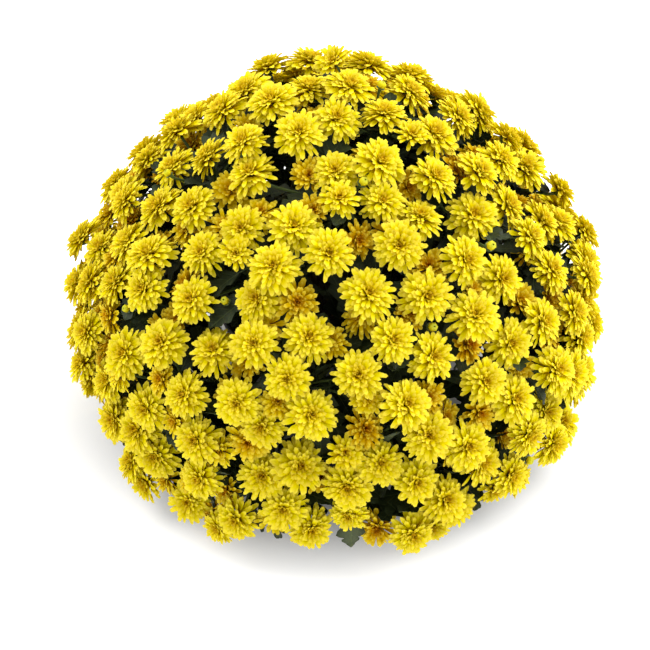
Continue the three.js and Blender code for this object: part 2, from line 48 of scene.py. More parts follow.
DOME_RADIUS = 208
WIDEST_HEIGHT = 152
DOME_RISE = 178
SKIRT_DROP = 118
SKIRT_RADIUS = 194
DOME_POWER = 1.52
CROWN_SHARE = 0.7
OUTLINE_STEPS = 240

POT_HEIGHT = 132
POT_BASE_RADIUS = 69
POT_TOP_RADIUS = 91
POT_WALL = 2
POT_FLOOR = 2.5
RIM_HEIGHT = 14
RIM_STEP = 3.5
DRAIN_COUNT = 5
DRAIN_RADIUS = 6
DRAIN_CIRCLE = 46
SOIL_TOP = 114
FIT_GAP = 0.3

STEM_RADIUS = 4
BRANCH_RADIUS = 2.6
BRANCH_STEPS = 3
BRANCH_REACH = 26
NECK_HEIGHT = 6
LONGEST_REACH = 0.45  # of the way from a fork to a spray
INNER_STEMS = Record(count=3, hole=15, bend=19, bend_height=165, fork=34, fork_height=222, turn=0.4)
OUTER_STEMS = Record(count=9, hole=50, bend=72, bend_height=163, fork=103, fork_height=176, turn=0)
INNER_SHARE = 0.25

SPRAY_COUNT = 36
SPRAY_LIFT = 0.3
HUB_DEPTH = 44
HUB_RADIUS = 6.5
PEDUNCLE_LENGTH = 24
PEDUNCLE_RADIUS = 2.4
PEDICEL_RADIUS = 1.1


def head_sort(first=0, straight=0.5, **measures):
    """A sort of heads: the share of the dome's area above its first place, the least cosine between pedicel
    and axis, places, how far a head strays from its place, tries at each place, half width, depth below the
    dome, how far it leans, and how far it keeps from heads before it."""
    return Record(first=first, straight=straight, **measures)


LARGE = head_sort(places=230, stray=12, tries=60, radius=(16, 19), depth=(0, 14), lean=0.3, apart=0)
SMALL = head_sort(places=220, stray=22, tries=80, radius=(11.5, 15.5), depth=(4, 28), lean=0.5, apart=0.7)
BUD = head_sort(places=24, stray=40, tries=60, radius=(4, 5), depth=(2, 20), lean=0.4, apart=1.1)
LOW = head_sort(
    0.9, 0.3, places=12, stray=14, tries=80, radius=(12.5, 16), depth=(0, 24), lean=0.5, apart=0.7
)
SORTS = (LARGE, SMALL, BUD, LOW)
HEAD_LIFT = 0.55
HEAD_RISE = 0.46
HEAD_BELOW = 0.24
HEAD_GAP = 0.9
LOWEST_HEAD = 9
HEAD_TESTS = ((1, 0, 14), (0.72, 0.22, 10), (0.72, -0.12, 10), (0.38, 0.4, 5), (0.38, -0.2, 5))
PEDICEL_GAP = 0.8
PEDICEL_STEP = 3.5
PEDICEL_TESTS = 48
PEDICELS_MEET = 4
NEARBY = 110
WIDEST_SPREAD = -0.3
PEDICELS_APART = cos(2.1 * asin(PEDICEL_RADIUS / HUB_RADIUS))
# Where the dome is left open: the share of its area above the place, the place's angle, the gap's radius
HOLLOWS = (
    (0.03, -138, 8), (0.11, -80, 8), (0.12, -112, 8), (0.18, -62, 9), (0.28, -92, 11), (0.31, -61, 8),
    (0.35, -115, 10), (0.41, -76, 10), (0.62, -98, 11), (0.79, -113, 8), (0.15, 40, 8), (0.33, 80, 8),
    (0.48, 28, 7), (0.52, 112, 8), (0.38, 175, 8), (0.7, 158, 7),
)
HOLLOW_REACH = 0.5  # of a head's half width, that keeps out of a hollow
HOLLOW_DEPTH = 60

LEAVES_A_STEM = 3
LEAF_TRIES = 60
LEAF_LENGTH = (36, 48)
LEAF_SPOT = (0.2, 0.8)  # the share of a branch at which a leaf stands
LEAF_SPREAD = (0.25, 1.15)
LEAF_DROOP = 0.16
LOWEST_LEAF = 30
# How far a leaf keeps from wood, the middle of a hub, a head, another leaf, and the pot's rim
LEAF_TO_WOOD = 4.6
LEAF_TO_HUB = HUB_RADIUS + 4
LEAF_TO_HEAD = 2
LEAF_TO_LEAF = LEAF_TO_WOOD + 1.5
ABOVE_RIM = 6
PAST_RIM = 12
WOOD_STEP = 4

SEED = 97999
GOLDEN_ANGLE = pi * (3 - sqrt(5))
EAST, _, UP = np.eye(3)


def between(ends, share):
    return ends[0] + (ends[1] - ends[0]) * share


class Draws:
    """The row of random numbers that the solids were placed with."""

    def __init__(self, seed):
        self.state = seed

    def one(self):
        self.state = self.state * 16807 % 2147483647
        return self.state / 2147483647

    def between(self, ends):
        return between(ends, self.one())


draws = Draws(SEED)


def joined(*parts):
    return np.concatenate(parts)


def cross(a, b):
    return np.array([a[1] * b[2] - a[2] * b[1], a[2] * b[0] - a[0] * b[2], a[0] * b[1] - a[1] * b[0]])


def unit(a):
    return a / sqrt(a @ a)


def length_of(a):
    return sqrt(a @ a)


def polar(radius, angle, height):
    return np.array([radius * cos(angle), radius * sin(angle), height])


def outline(t):
    """The dome's radius and height: t runs from 0 at the crown to 1 at the skirt's lower edge."""
    if t < CROWN_SHARE:
        rise = DOME_RISE * cos(pi / 2 * (t / CROWN_SHARE))
        share = 1 - (rise / DOME_RISE) ** DOME_POWER
        return DOME_RADIUS * share ** (1 / DOME_POWER), WIDEST_HEIGHT + rise
    drop = (t - CROWN_SHARE) / (1 - CROWN_SHARE)
    return DOME_RADIUS - (DOME_RADIUS - SKIRT_RADIUS) * drop * drop, WIDEST_HEIGHT - SKIRT_DROP * drop


OUTLINE = np.array([outline(i / OUTLINE_STEPS) for i in range(OUTLINE_STEPS + 1)])


def area_shares():
    """The area of the dome above each step of its outline, as a share of the whole."""
    areas = [0.0]
    for (r0, z0), (r1, z1) in zip(OUTLINE[:-1], OUTLINE[1:]):
        areas.append(areas[-1] + (r0 + r1) / 2 * hypot(r1 - r0, z1 - z0))
    return np.array(areas) / areas[-1]


AREA_SHARES = area_shares()


def on_dome(share, angle):
    """The point of the dome that has this share of its area above it, and the direction out of it."""
    i = max(1, int(np.searchsorted(AREA_SHARES, share)))
    part = (share - AREA_SHARES[i - 1]) / (AREA_SHARES[i] - AREA_SHARES[i - 1])
    (r0, z0), (r1, z1) = OUTLINE[i - 1], OUTLINE[i]
    point = polar(r0 + (r1 - r0) * part, angle, z0 + (z1 - z0) * part)
    return point, unit(polar(z0 - z1, angle, r1 - r0))


def sides(axis):
    """Two directions square to the given one."""
    u = cross(axis, UP)
    if u @ u < 1e-6:
        u = cross(axis, EAST)
    u = unit(u)
    return u, cross(axis, u)


def along_line(start, end, step):
    """Points from start to end, no further apart than the step."""
    count = max(2, ceil(length_of(end - start) / step))
    return start + (end - start) * (np.arange(count + 1) / count)[:, None]


def make_sprays():
    """The sprays, spread evenly over the dome: each has a hub that its pedicels leave, on a short stalk."""
    sprays = []
    for k in range(SPRAY_COUNT):
        share = (k + 0.5) / SPRAY_COUNT
        angle = k * GOLDEN_ANGLE
        point, out = on_dome(share, angle)
        axis = unit(out + UP * SPRAY_LIFT)
        hub = point - axis * HUB_DEPTH
        foot = hub - axis * PEDUNCLE_LENGTH
        sprays.append(Record(k=k, share=share, angle=angle, axis=axis, hub=hub, foot=foot, heads=[]))
    return sprays


class Heads:
    """All flower heads placed so far, with their measures in arrays, so that a new one is soon tested."""

    def __init__(self, sprays):
        self.sprays = sprays
        self.hubs = np.array([s.hub for s in sprays])
        self.hollows = [(*on_dome(share, radians(angle)), radius) for share, angle, radius in HOLLOWS]
        self.all = []
        room = sum(sort.places for sort in SORTS)
        tests = sum(count for _, _, count in HEAD_TESTS)
        self.centres, self.axes = np.zeros((2, room, 3))
        self.radii = np.zeros(room)
        self.spray = np.zeros(room, int)
        self.samples = np.zeros((room, tests, 3))
        self.lines = np.zeros((room, PEDICEL_TESTS, 3))

    def draw(self, sort, place):
        """One head of the given sort near its place on the dome, with its pedicel."""
        share = sort.first + (1 - sort.first) * ((place + 0.5) / sort.places)
        point, out = on_dome(share, place * GOLDEN_ANGLE)
        radius = draws.between(sort.radius)
        depth = draws.between(sort.depth)
        lean = np.array([draws.one() - 0.5 for _ in range(3)])
        axis = unit(out + UP * (HEAD_LIFT * (1 - out[2])) + lean * (2 * sort.lean))
        centre = point - out * depth
        for side in sides(out):
            centre = centre + side * (sort.stray * (2 * draws.one() - 1))
        turn = 2 * pi * draws.one()
        calyx = centre - axis * (HEAD_BELOW * radius)
        spray = self.sprays[int(np.argmin(((self.hubs - calyx) ** 2).sum(1)))]
        rise = unit(calyx - spray.hub)
        root = spray.hub + rise * sqrt(HUB_RADIUS**2 - PEDICEL_RADIUS**2)
        measures = {"out": out, "centre": centre, "axis": axis, "radius": radius, "turn": turn}
        return Record(sort=sort, spray=spray, calyx=calyx, root=root, rise=rise, **measures)

    def hold(self, chosen, points, margin):
        """Whether any of the points is inside one of the chosen heads, or nearer to it than the margin."""
        inside = inside_heads(self.centres[chosen], self.axes[chosen], self.radii[chosen], points, margin)
        return bool(inside.any())

    def fits(self, head):
        """Whether the head and its pedicel stand clear of the ones before, and of the hollows."""
        if head.rise @ head.axis < head.sort.straight or head.rise @ head.spray.axis < WIDEST_SPREAD:
            return False
        if any(h.rise @ head.rise > PEDICELS_APART for h in head.spray.heads):
            return False
        if head.sort is not BUD and any(in_hollow(head, *hollow) for hollow in self.hollows):
            return False
        away = head.centre - self.centres[: len(self.all)]
        gaps = np.sqrt((away**2).sum(1))
        near = np.flatnonzero(gaps < NEARBY)
        across = away[near] - np.outer(away[near] @ head.out, head.out)
        if (np.sqrt((across**2).sum(1)) < head.sort.apart * self.radii[near]).any():
            return False
        head.samples = head_samples(head)
        if (head.samples[:, 2] < LOWEST_HEAD).any():
            return False
        met = near[gaps[near] <= head.radius + self.radii[near] + HEAD_GAP]
        if self.touch(head, met, head.samples, self.samples, HEAD_GAP):
            return False
        head.line = along_line(head.calyx, head.root, PEDICEL_STEP)
        if self.touch(head, near, head.line, self.lines, PEDICEL_RADIUS + PEDICEL_GAP):
            return False
        others = near[self.spray[near] != head.spray.k]
        apart = self.lines[others].reshape(-1, 1, 3) - head.line[None]
        return not ((apart**2).sum(2) < PEDICELS_MEET**2).any()

    def touch(self, head, chosen, points, others, margin):
        """Whether a head's points are inside the chosen heads, or the points of those inside the head."""
        if self.hold(chosen, points[None], margin):
            return True
        own = (head.centre[None], head.axis[None], np.array([head.radius]))
        return inside_heads(*own, others[chosen].reshape(1, -1, 3), margin).any()

    def place(self, sort):
        """Tries every place of a sort, and keeps the first head that fits there."""
        for place in range(sort.places):
            for _ in range(sort.tries):
                head = self.draw(sort, place)
                if self.fits(head):
                    self.keep(head)
                    break

    def keep(self, head):
        i = len(self.all)
        self.centres[i], self.axes[i], self.radii[i] = head.centre, head.axis, head.radius
        self.spray[i] = head.spray.k
        self.samples[i] = head.samples
        self.lines[i] = head.line[-1]
        self.lines[i, : len(head.line)] = head.line
        self.all.append(head)
        head.spray.heads.append(head)


def inside_heads(centres, axes, radii, points, margin):
    """Which points, given as rows a head or as one row for all, are inside the heads or near them."""
    away = points - centres[:, None]
    along = (away * axes[:, None]).sum(2)
    across = np.sqrt(np.maximum(0, (away**2).sum(2) - along**2))
    reach = radii[:, None]
    bulge = np.maximum(0, 1 - (across / reach) ** 2) * reach
    flat = (along < HEAD_RISE * bulge + margin) & (along > -HEAD_BELOW * bulge - margin)
    return flat & (across <= reach + margin)


def in_hollow(head, point, out, radius):
    """Whether a head would stand where the dome is left open."""
    away = head.centre - point
    along = away @ out
    return abs(along) < HOLLOW_DEPTH and length_of(away - out * along) < radius + HOLLOW_REACH * head.radius


def turns(count):
    """Equal turns round a circle."""
    return 2 * pi * np.arange(count) / count


def around(u, v, turn):
    """Directions at these turns, from u towards v."""
    return np.outer(np.cos(turn), u) + np.outer(np.sin(turn), v)


def head_samples(head):
    """Points spread over a head's skin, for testing."""
    u, v = sides(head.axis)
    rows = []
    for across, along, count in HEAD_TESTS:
        turn = turns(count)
        reach = head.radius * across
        ring = head.centre + np.outer(reach * np.cos(turn), u) + np.outer(reach * np.sin(turn), v)
        rows.append(ring + head.axis * (head.radius * along))
    return np.concatenate(rows)


def make_stems(sprays):
    """The leafy stems: each forks into branches that reach the feet of the sprays in its sector."""
    stems = []
    for ring in (INNER_STEMS, OUTER_STEMS):
        for i in range(ring.count):
            angle = 2 * pi * (i + ring.turn) / ring.count
            stem = Record(angle=angle, sector=pi / ring.count, inner=ring is INNER_STEMS)
            stem.hole = polar(ring.hole, angle, SOIL_TOP)
            stem.bend = polar(ring.bend, angle, ring.bend_height)
            stem.fork = polar(ring.fork, angle, ring.fork_height)
            stem.branches, stem.leaves = [], []
            stems.append(stem)
    for spray in sprays:
        inner = spray.share < INNER_SHARE
        for stem in stems:
            turn = spray.angle - stem.angle
            away = atan2(sin(turn), cos(turn))
            if stem.inner == inner and abs(away) <= stem.sector + 1e-9:
                stem.branches.append(branch_to(stem, spray))
                break
    return stems


def bezier(start, middle, end, shares):
    t = np.asarray(shares)[:, None]
    return start * (1 - t) ** 2 + middle * (2 * t * (1 - t)) + end * t**2


def branch_to(stem, spray):
    top = spray.foot - spray.axis * FIT_GAP
    reach = min(BRANCH_REACH, LONGEST_REACH * length_of(top - stem.fork))
    handle = top - spray.axis * reach
    steps = bezier(stem.fork, handle, top, np.linspace(0, 1, BRANCH_STEPS + 1))
    return Record(spray=spray, points=steps, handle=handle)


def leaf_from(start, along, spread, turn, length):
    """A leaf's own frame: it runs out from its stem along one direction and lies square to another."""
    u, v = sides(along)
    out = unit(along * spread + u * cos(turn) + v * sin(turn))
    across, _ = sides(out)
    face = -cross(out, across)
    if face[2] < 0:
        face = -face
    return Record(start=start, out=out, across=across, face=face, length=length, deep=False)


def leaf_point(leaf, along, across):
    """Points of a leaf's drooping middle surface, from shares of its length."""
    along = along * leaf.length
    flat = leaf.start + np.outer(along, leaf.out) + np.outer(across * leaf.length, leaf.across)
    return flat - np.outer(LEAF_DROOP * along * along / leaf.length, leaf.face)


LEAF_TESTS = [[a, b] for a in (0.25, 0.4, 0.55, 0.7, 0.85) for b in (-0.22, -0.11, 0, 0.11, 0.22)]
LEAF_TESTS = np.array([*LEAF_TESTS, [1, 0]]).T


def near_any(points, others, reach):
    apart = points[:, None] - others[None]
    return bool(((apart**2).sum(2) < reach * reach).any())


def draw_leaf(stem):
    """A leaf somewhere on one of the stem's branches."""
    branch = stem.branches[int(draws.one() * len(stem.branches))]
    spot = draws.between(LEAF_SPOT) * BRANCH_STEPS
    i = min(BRANCH_STEPS - 1, int(spot))
    here, ahead = branch.points[i], branch.points[i + 1]
    turn = 2 * pi * draws.one()
    spread = draws.between(LEAF_SPREAD)
    length = draws.between(LEAF_LENGTH)
    return leaf_from(here + (ahead - here) * (spot - i), unit(ahead - here), spread, turn, length)


def misplaced(points):
    """Whether a leaf hangs too low, or over the pot's rim."""
    x, y, z = points.T
    over_pot = (z < POT_HEIGHT + ABOVE_RIM) & (np.hypot(x, y) < POT_TOP_RADIUS + PAST_RIM)
    return bool((over_pot | (z < LOWEST_LEAF)).any())


def add_leaves(stems, heads):
    """The leaves that the solids have, clear of wood, heads, hubs and each other."""
    lines = []
    for stem in stems:
        lines += [(stem.hole, stem.bend), (stem.bend, stem.fork)]
        for branch in stem.branches:
            lines += zip(branch.points[:-1], branch.points[1:])
            lines.append((branch.spray.foot, branch.spray.hub + branch.spray.axis * HUB_RADIUS))
    wood = [along_line(start, end, WOOD_STEP) for start, end in lines]
    wood = joined(*wood, *[head.line for head in heads.all])
    placed = slice(len(heads.all))
    blades = np.zeros((0, 3))
    for stem in stems:
        for _ in range(LEAF_TRIES):
            if len(stem.leaves) == LEAVES_A_STEM:
                break
            leaf = draw_leaf(stem)
            points = leaf_point(leaf, *LEAF_TESTS)
            if misplaced(points) or heads.hold(placed, points[None], LEAF_TO_HEAD):
                continue
            if near_any(points, wood, LEAF_TO_WOOD) or near_any(points, blades, LEAF_TO_LEAF):
                continue
            if near_any(points, heads.hubs, LEAF_TO_HUB):
                continue
            blades = joined(blades, points)
            stem.leaves.append(leaf)


sprays = make_sprays()
stems = make_stems(sprays)
heads = Heads(sprays)
for sort in SORTS:
    heads.place(sort)
add_leaves(stems, heads)

# --- Meshes ---


class Skin:
    """Points, triangles and point marks that together make one piece's mesh."""

    def __init__(self, *marks):
        self.points = []
        self.faces = []
        self.marks = {mark: [] for mark in marks}
        self.count = 0

    def add(self, points, faces, **marks):
        self.points.append(points)
        self.faces.append(faces + self.count)
        for mark, values in self.marks.items():
            values.append(np.broadcast_to(marks.get(mark, 0.0), len(points)))
        self.count += len(points)


def grid_faces(rows, columns):
    """Triangles of a grid whose points run row by row, with each row joined back to its start."""
    a = np.arange(rows * columns)
    b = a - a % columns + (a + 1) % columns
    c, d = a + columns, b + columns
    return joined(np.stack([a, b, d], 1), np.stack([a, d, c], 1))


def fan(first, count, tip, up=True):
    """Triangles from a closed ring to one point beyond it, or behind it."""
    a = np.arange(count)
    b = (a + 1) % count
    ring = (a + first, b + first) if up else (b + first, a + first)
    return np.stack([*ring, np.full(count, tip)], 1)


def tube_faces(rings, columns):
    """Triangles of a tube of rings, closed by a point at each end: the last two points."""
    ends = rings * columns
    caps = [fan(0, columns, ends, up=False), fan(ends - columns, columns, ends + 1)]
    return joined(grid_faces(rings - 1, columns), *caps)


def tube(skin, path, radii, columns, wood=0.0):
    """A round stem along a path, with a radius, and how woody it is, at each of its points."""
    path = np.asarray(path, float)
    ahead = np.gradient(path, axis=0)
    ahead /= np.linalg.norm(ahead, axis=1)[:, None]
    u, _ = sides(ahead[0])
    rings = []
    for point, along, radius in zip(path, ahead, radii):
        u = unit(u - along * (u @ along))
        rings.append(point + radius * around(u, cross(along, u), turns(columns)))
    wood = np.broadcast_to(wood, len(path))
    wood = joined(np.repeat(wood, columns), wood[:1], wood[-1:])
    points = joined(*rings, path[:1], path[-1:])
    skin.add(points, tube_faces(len(path), columns), wood=wood)


def turned(skin, profile, columns, centre=(0, 0, 0), axis=UP, **marks):
    """A turned form from an outline of radius and height, whose first and last points are on the axis."""
    profile = np.asarray(profile, float)
    circle = around(*sides(axis), turns(columns))
    rings = [np.asarray(centre) + r * circle + z * axis for r, z in profile[1:-1]]
    ends = [np.asarray(centre) + z * axis for z in profile[[0, -1], 1]]
    skin.add(joined(*rings, ends), tube_faces(len(rings), columns), **marks)


# --- Petals ---


def petal_faces(stations, corners):
    """Triangles of one petal: a base point, its cross sections from left to right and back, a tip point."""
    tip = corners * stations + 1
    body = grid_faces(stations - 1, corners) + 1
    # Sections run clockwise as seen from the base, so the tube's faces turn round.
    ends = [fan(1, corners, 0), fan(tip - corners, corners, tip, up=False)]
    return joined(body[:, ::-1], *ends)[:, ::-1]


def petal_form(stations, folded=False):
    """Where a petal's cross sections stand along it, how wide they are there, and its triangles."""
    stations = np.array(stations)
    faces = petal_faces(len(stations), 4 if folded else 3)
    return Record(stations=stations, folded=folded, faces=faces)


BROAD = petal_form([[0.36, 0.5], [0.74, 0.98], [0.93, 0.76]], folded=True)
NARROW = petal_form([[0.36, 0.56], [0.76, 1.0], [0.94, 0.7]])
SHORT = petal_form([[0.55, 0.88], [0.9, 0.84]])
TINY = petal_form([[0.72, 1.0]])
PETAL_THICKNESS = 0.45
CHANNEL = 0.2  # how deep a petal is folded, as a share of its width
RAISED = 0.6  # of that depth, by which its edges stand up


def add_petals(skin, head, form, petals, **marks):
    """Adds a ring of petals. Each is an array row: turn, foot radius and height, tip radius and height,
    arch, width, roll and sideways sweep, as shares of the head's half width."""
    axis, scale = head.axis, head.radius
    u, v = sides(axis)
    turn, foot, foot_z, tip, tip_z, arch, width, roll, sweep = petals.T
    out, left = around(u, v, turn), around(v, -u, turn)
    run, climb = tip - foot, tip_z - foot_z
    mid = (foot + tip) / 2 - climb * arch
    mid_z = (foot_z + tip_z) / 2 + run * arch
    s = joined([0], form.stations[:, 0], [1])

    def curve(a, b, c):
        return np.outer(a, (1 - s) ** 2) + np.outer(b, 2 * s * (1 - s)) + np.outer(c, s**2)

    def slope(a, b, c):
        return np.outer(b - a, 2 * (1 - s)) + np.outer(c - b, 2 * s)

    def place(across, height, aside):
        return across[..., None] * out[:, None] + height[..., None] * axis + aside[..., None] * left[:, None]

    spine = place(curve(foot, mid, tip), curve(foot_z, mid_z, tip_z), np.outer(sweep, s**2))
    ahead = place(slope(foot, mid, tip), slope(foot_z, mid_z, tip_z), np.outer(sweep, 2 * s))
    ahead /= np.linalg.norm(ahead, axis=2)[..., None]
    side = left[:, None] - ahead * (left[:, None] * ahead).sum(2)[..., None]
    side /= np.linalg.norm(side, axis=2)[..., None]
    normal = np.cross(ahead, side)
    roll = roll[:, None, None]
    side, normal = side * np.cos(roll) + normal * np.sin(roll), normal * np.cos(roll) - side * np.sin(roll)
    half = (np.outer(width, form.stations[:, 1]) / 2)[..., None]
    at, beside, above = spine[:, 1:-1], side[:, 1:-1], normal[:, 1:-1]
    sink = above * (half * 2 * CHANNEL)
    rim = above * (half * CHANNEL * RAISED)
    thick = above * (PETAL_THICKNESS / scale)
    section = [at + beside * half + rim, at - beside * half + rim, at - sink + rim - thick]
    sides_at = [1.0, -1.0, 0.0]
    if form.folded:
        section.insert(1, at - sink + rim)
        sides_at.insert(1, 0.0)
    sections = np.stack(section, 2)
    count = len(petals)
    points = np.concatenate([spine[:, :1], sections.reshape(count, -1, 3), spine[:, -1:]], 1)
    each = points.shape[1]
    faces = form.faces + each * np.arange(count)[:, None, None]
    along = joined([0], np.repeat(form.stations[:, 0], len(section)), [1])
    across = joined([0], np.tile(sides_at, len(form.stations)), [0])
    spread = {mark: np.repeat(np.broadcast_to(value, count), each) for mark, value in marks.items()}
    spread |= {"along": np.tile(along, count), "across": np.tile(across, count)}
    skin.add(head.centre + scale * points.reshape(-1, 3), faces.reshape(-1, 3), **spread)


# How a head of each sort opens: its rows of petals; for the first and the last row the petals in it, how far
# they reach, how steeply they rise and how wide they are; and the forms of all but the innermost rows
LARGE_BLOOM = Record(rows=13, count=(20, 9), reach=(1.2, 0.38), rise=(-9, 82), width=(0.23, 0.12))
LARGE_BLOOM.forms = (BROAD, NARROW, *[SHORT] * 6)
SMALL_BLOOM = Record(rows=9, count=(14, 7), reach=(1.26, 0.42), rise=(-5, 78), width=(0.28, 0.14))
SMALL_BLOOM.forms = (BROAD, *[SHORT] * 5)
RISE_POWER = 0.88
# How much a row's petals differ: in turn, as a share of the step between two, in reach, in rise, by degrees,
# and in arch, width, roll and sweep
TURN_STRAY = 0.28
REACH_LACK = 0.3
RISE_STRAY = 11
ARCH_STRAY = 0.05
WIDTHS = (0.85, 1.12)
ROLL_STRAY = 0.45
SWEEP_STRAY = 0.1
# A young head's outer petals stand steeper, by these degrees, and it is browner, with painted shade that
# grows the deeper it stands.
YOUNG_RISE = (-12, 30)
YOUNG_TONE = (0.75, 1)
PAINTED_SHADE_DEPTH = 17
LEAST_BROWN = 0.3
OPEN_TONE = (0, 0.25)
# Petals in each row of a bud, and their width
BUD_ROWS = ((6, 0.95), (6, 0.8), (4, 0.6))


def add_bloom(skin, head, bloom, chance):
    """One double flower head: rows of petals, from a flat outer row to a tight upright middle."""
    if head.sort is SMALL:
        # A young head's own brown tone, with painted shade: it is fuller the deeper the head stands below the
        # dome.
        depth = dome_depth(head.centre[None])[0]
        tone = chance.uniform(*YOUNG_TONE) * min(1, max(LEAST_BROWN, depth / PAINTED_SHADE_DEPTH))
        closed = max(0, chance.uniform(*YOUNG_RISE))
    else:
        tone = chance.uniform(*OPEN_TONE)
        closed = 0
    pale = chance.uniform(0, 0.5)
    for row in range(bloom.rows):
        t = row / (bloom.rows - 1)
        count = round(between(bloom.count, t))
        stray = chance.uniform(-TURN_STRAY, TURN_STRAY, count)
        turn = head.turn + row * GOLDEN_ANGLE + 2 * pi / count * (np.arange(count) + stray)
        reach = between(bloom.reach, t) * (1 - REACH_LACK * chance.uniform(0, 1, count) ** 2)
        rise = between(bloom.rise, t**RISE_POWER) + closed * (1 - t)
        rise = np.radians(rise + chance.uniform(-RISE_STRAY, RISE_STRAY, count))
        foot = np.full(count, 0.12 - 0.07 * t)
        foot_z = np.full(count, -0.14 + 0.12 * t)
        arch = 0.14 + 0.6 * t * (1 - t) - 0.2 * t * t + chance.uniform(-ARCH_STRAY, ARCH_STRAY, count)
        width = between(bloom.width, t) * chance.uniform(*WIDTHS, count)
        roll = chance.uniform(-ROLL_STRAY, ROLL_STRAY, count)
        sweep = chance.uniform(-SWEEP_STRAY, SWEEP_STRAY, count)
        tip, tip_z = reach * np.cos(rise), foot_z + reach * np.sin(rise)
        petals = np.stack([turn, foot, foot_z, tip, tip_z, arch, width, roll, sweep], 1)
        form = bloom.forms[row] if row < len(bloom.forms) else TINY
        shade = pale + chance.uniform(0, 0.5, count)
        add_petals(skin, head, form, petals, ring=t, tone=tone, shade=shade)


def add_bud(skin, head, chance):
    """A closed bud: a few rows of petals that meet over its middle."""
    for row, (count, width) in enumerate(BUD_ROWS):
        petals = np.zeros((count, 9))
        petals[:, 0] = head.turn + 2 * pi / count * (row / 2 + np.arange(count))
        petals[:, 1:7] = (0.1, -0.15, 0.12, 1.0 + 0.04 * row, -(0.95 - 0.15 * row) * 0.95, width)
        petals[:, 7] = chance.uniform(-0.1, 0.1, count)
        petals[:, 8] = chance.uniform(-0.05, 0.05, count)
        shade = chance.uniform(0, 1, count)
        add_petals(skin, head, NARROW, petals, ring=0.2 + 0.3 * row, tone=0.1, shade=shade, young=1.0)


# --- Green parts ---

CALYX_SIDES = 8
CALYX_REACH = 0.36  # of a head's half width
BUD_CALYX_REACH = 0.8
PEDICEL_SIDES = 5
# How straight a pedicel leaves its hub and meets its head, as shares of its span, and its swelling between
PEDICEL_HANDLES = (0.4, 0.14)
PEDICEL_SWELL = (1.25, 1.05, 0.95, 0.95, 1.05, 1.5)
STEM_SIDES = 8
STEM_STEPS = 8
STEM_DEPTH = 20
STEM_RADII = (STEM_RADIUS * 1.05, 3.2)
BRANCH_SIDES = 7
BRANCH_RADII = (BRANCH_RADIUS * 1.1, PEDUNCLE_RADIUS)
BALL_RADIUS = 4.2  # of the ball in which a spray's pedicels meet


def add_calyx(skin, head):
    """The green cup under a head."""
    r = head.radius
    reach = (BUD_CALYX_REACH if head.sort is BUD else CALYX_REACH) * r
    profile = [(0, -0.34 * r), (0.09 * r, -0.33 * r), (0.2 * r, -0.26 * r), (reach, -0.1 * r)]
    profile += [(0.9 * reach, -0.07 * r), (0, -0.1 * r)]
    turned(skin, profile, CALYX_SIDES, head.centre, head.axis, along=1.0)


def add_pedicel(skin, head):
    foot = head.spray.hub
    span = length_of(head.calyx - foot)
    low, high = PEDICEL_HANDLES
    a, b = foot + head.rise * (low * span), head.calyx - head.axis * (high * span)
    t = np.linspace(0, 1, len(PEDICEL_SWELL))[:, None]
    path = foot * (1 - t) ** 3 + a * (3 * t * (1 - t) ** 2) + b * (3 * t**2 * (1 - t)) + head.calyx * t**3
    tube(skin, path, PEDICEL_RADIUS * np.array(PEDICEL_SWELL), PEDICEL_SIDES)


def add_branchwork(skin, stem):
    """The stem, its branches, and on each the stalk and fork of its spray."""
    foot = stem.hole - UP * STEM_DEPTH
    neck = stem.hole + UP * NECK_HEIGHT
    steps = np.linspace(0, 1, STEM_STEPS)
    lower = bezier(neck, stem.bend + (neck - stem.fork) * 0.04, stem.fork, steps)
    trunk = joined(foot[None], lower)
    tube(skin, trunk, np.linspace(*STEM_RADII, len(trunk)), STEM_SIDES, np.linspace(1, 0.5, len(trunk)))
    radii = [*np.linspace(*BRANCH_RADII, STEM_STEPS), PEDUNCLE_RADIUS, PEDUNCLE_RADIUS * 1.3]
    ball = [(sin(a) * BALL_RADIUS, -cos(a) * BALL_RADIUS) for a in np.linspace(0, pi, 6)]
    for branch in stem.branches:
        spray = branch.spray
        path = bezier(stem.fork, branch.handle, spray.foot, steps)
        path = joined(path, (spray.foot + spray.hub)[None] / 2, spray.hub[None])
        tube(skin, path, radii, BRANCH_SIDES, np.linspace(0.5, 0, len(path)))
        turned(skin, ball, STEM_SIDES, spray.hub, spray.axis)
        for head in spray.heads:
            add_pedicel(skin, head)
            add_calyx(skin, head)


# Half a leaf's width along it, as shares of its length: a stalk, two pairs of lobes and a toothed end
LEAF_OUTLINE = np.array([
    (0, 0.018), (0.1, 0.016), (0.19, 0.022), (0.26, 0.08), (0.31, 0.2), (0.36, 0.25), (0.41, 0.22),
    (0.47, 0.12), (0.53, 0.13), (0.6, 0.23), (0.66, 0.26), (0.71, 0.21), (0.76, 0.12), (0.82, 0.16),
    (0.88, 0.15), (0.93, 0.08), (0.97, 0.07), (1, 0.008),
])
# A leaf deep in the plant is made with fewer points.
DEEP_OUTLINE = LEAF_OUTLINE[[0, 2, 5, 7, 10, 12, 13, 15, 17]]
LEAF_ACROSS = np.array([-1, -0.5, 0, 0.5, 1])
DEEP_ACROSS = np.array([-1, 0, 1])
LEAF_THICKNESS = 0.7
# How far lobes sweep forward, a leaf folds upward and its edges ripple, as shares of its size, and how often
LOBE_SWEEP = 0.3
LEAF_FOLD = 0.22
RIPPLE = 0.03
RIPPLES = 19


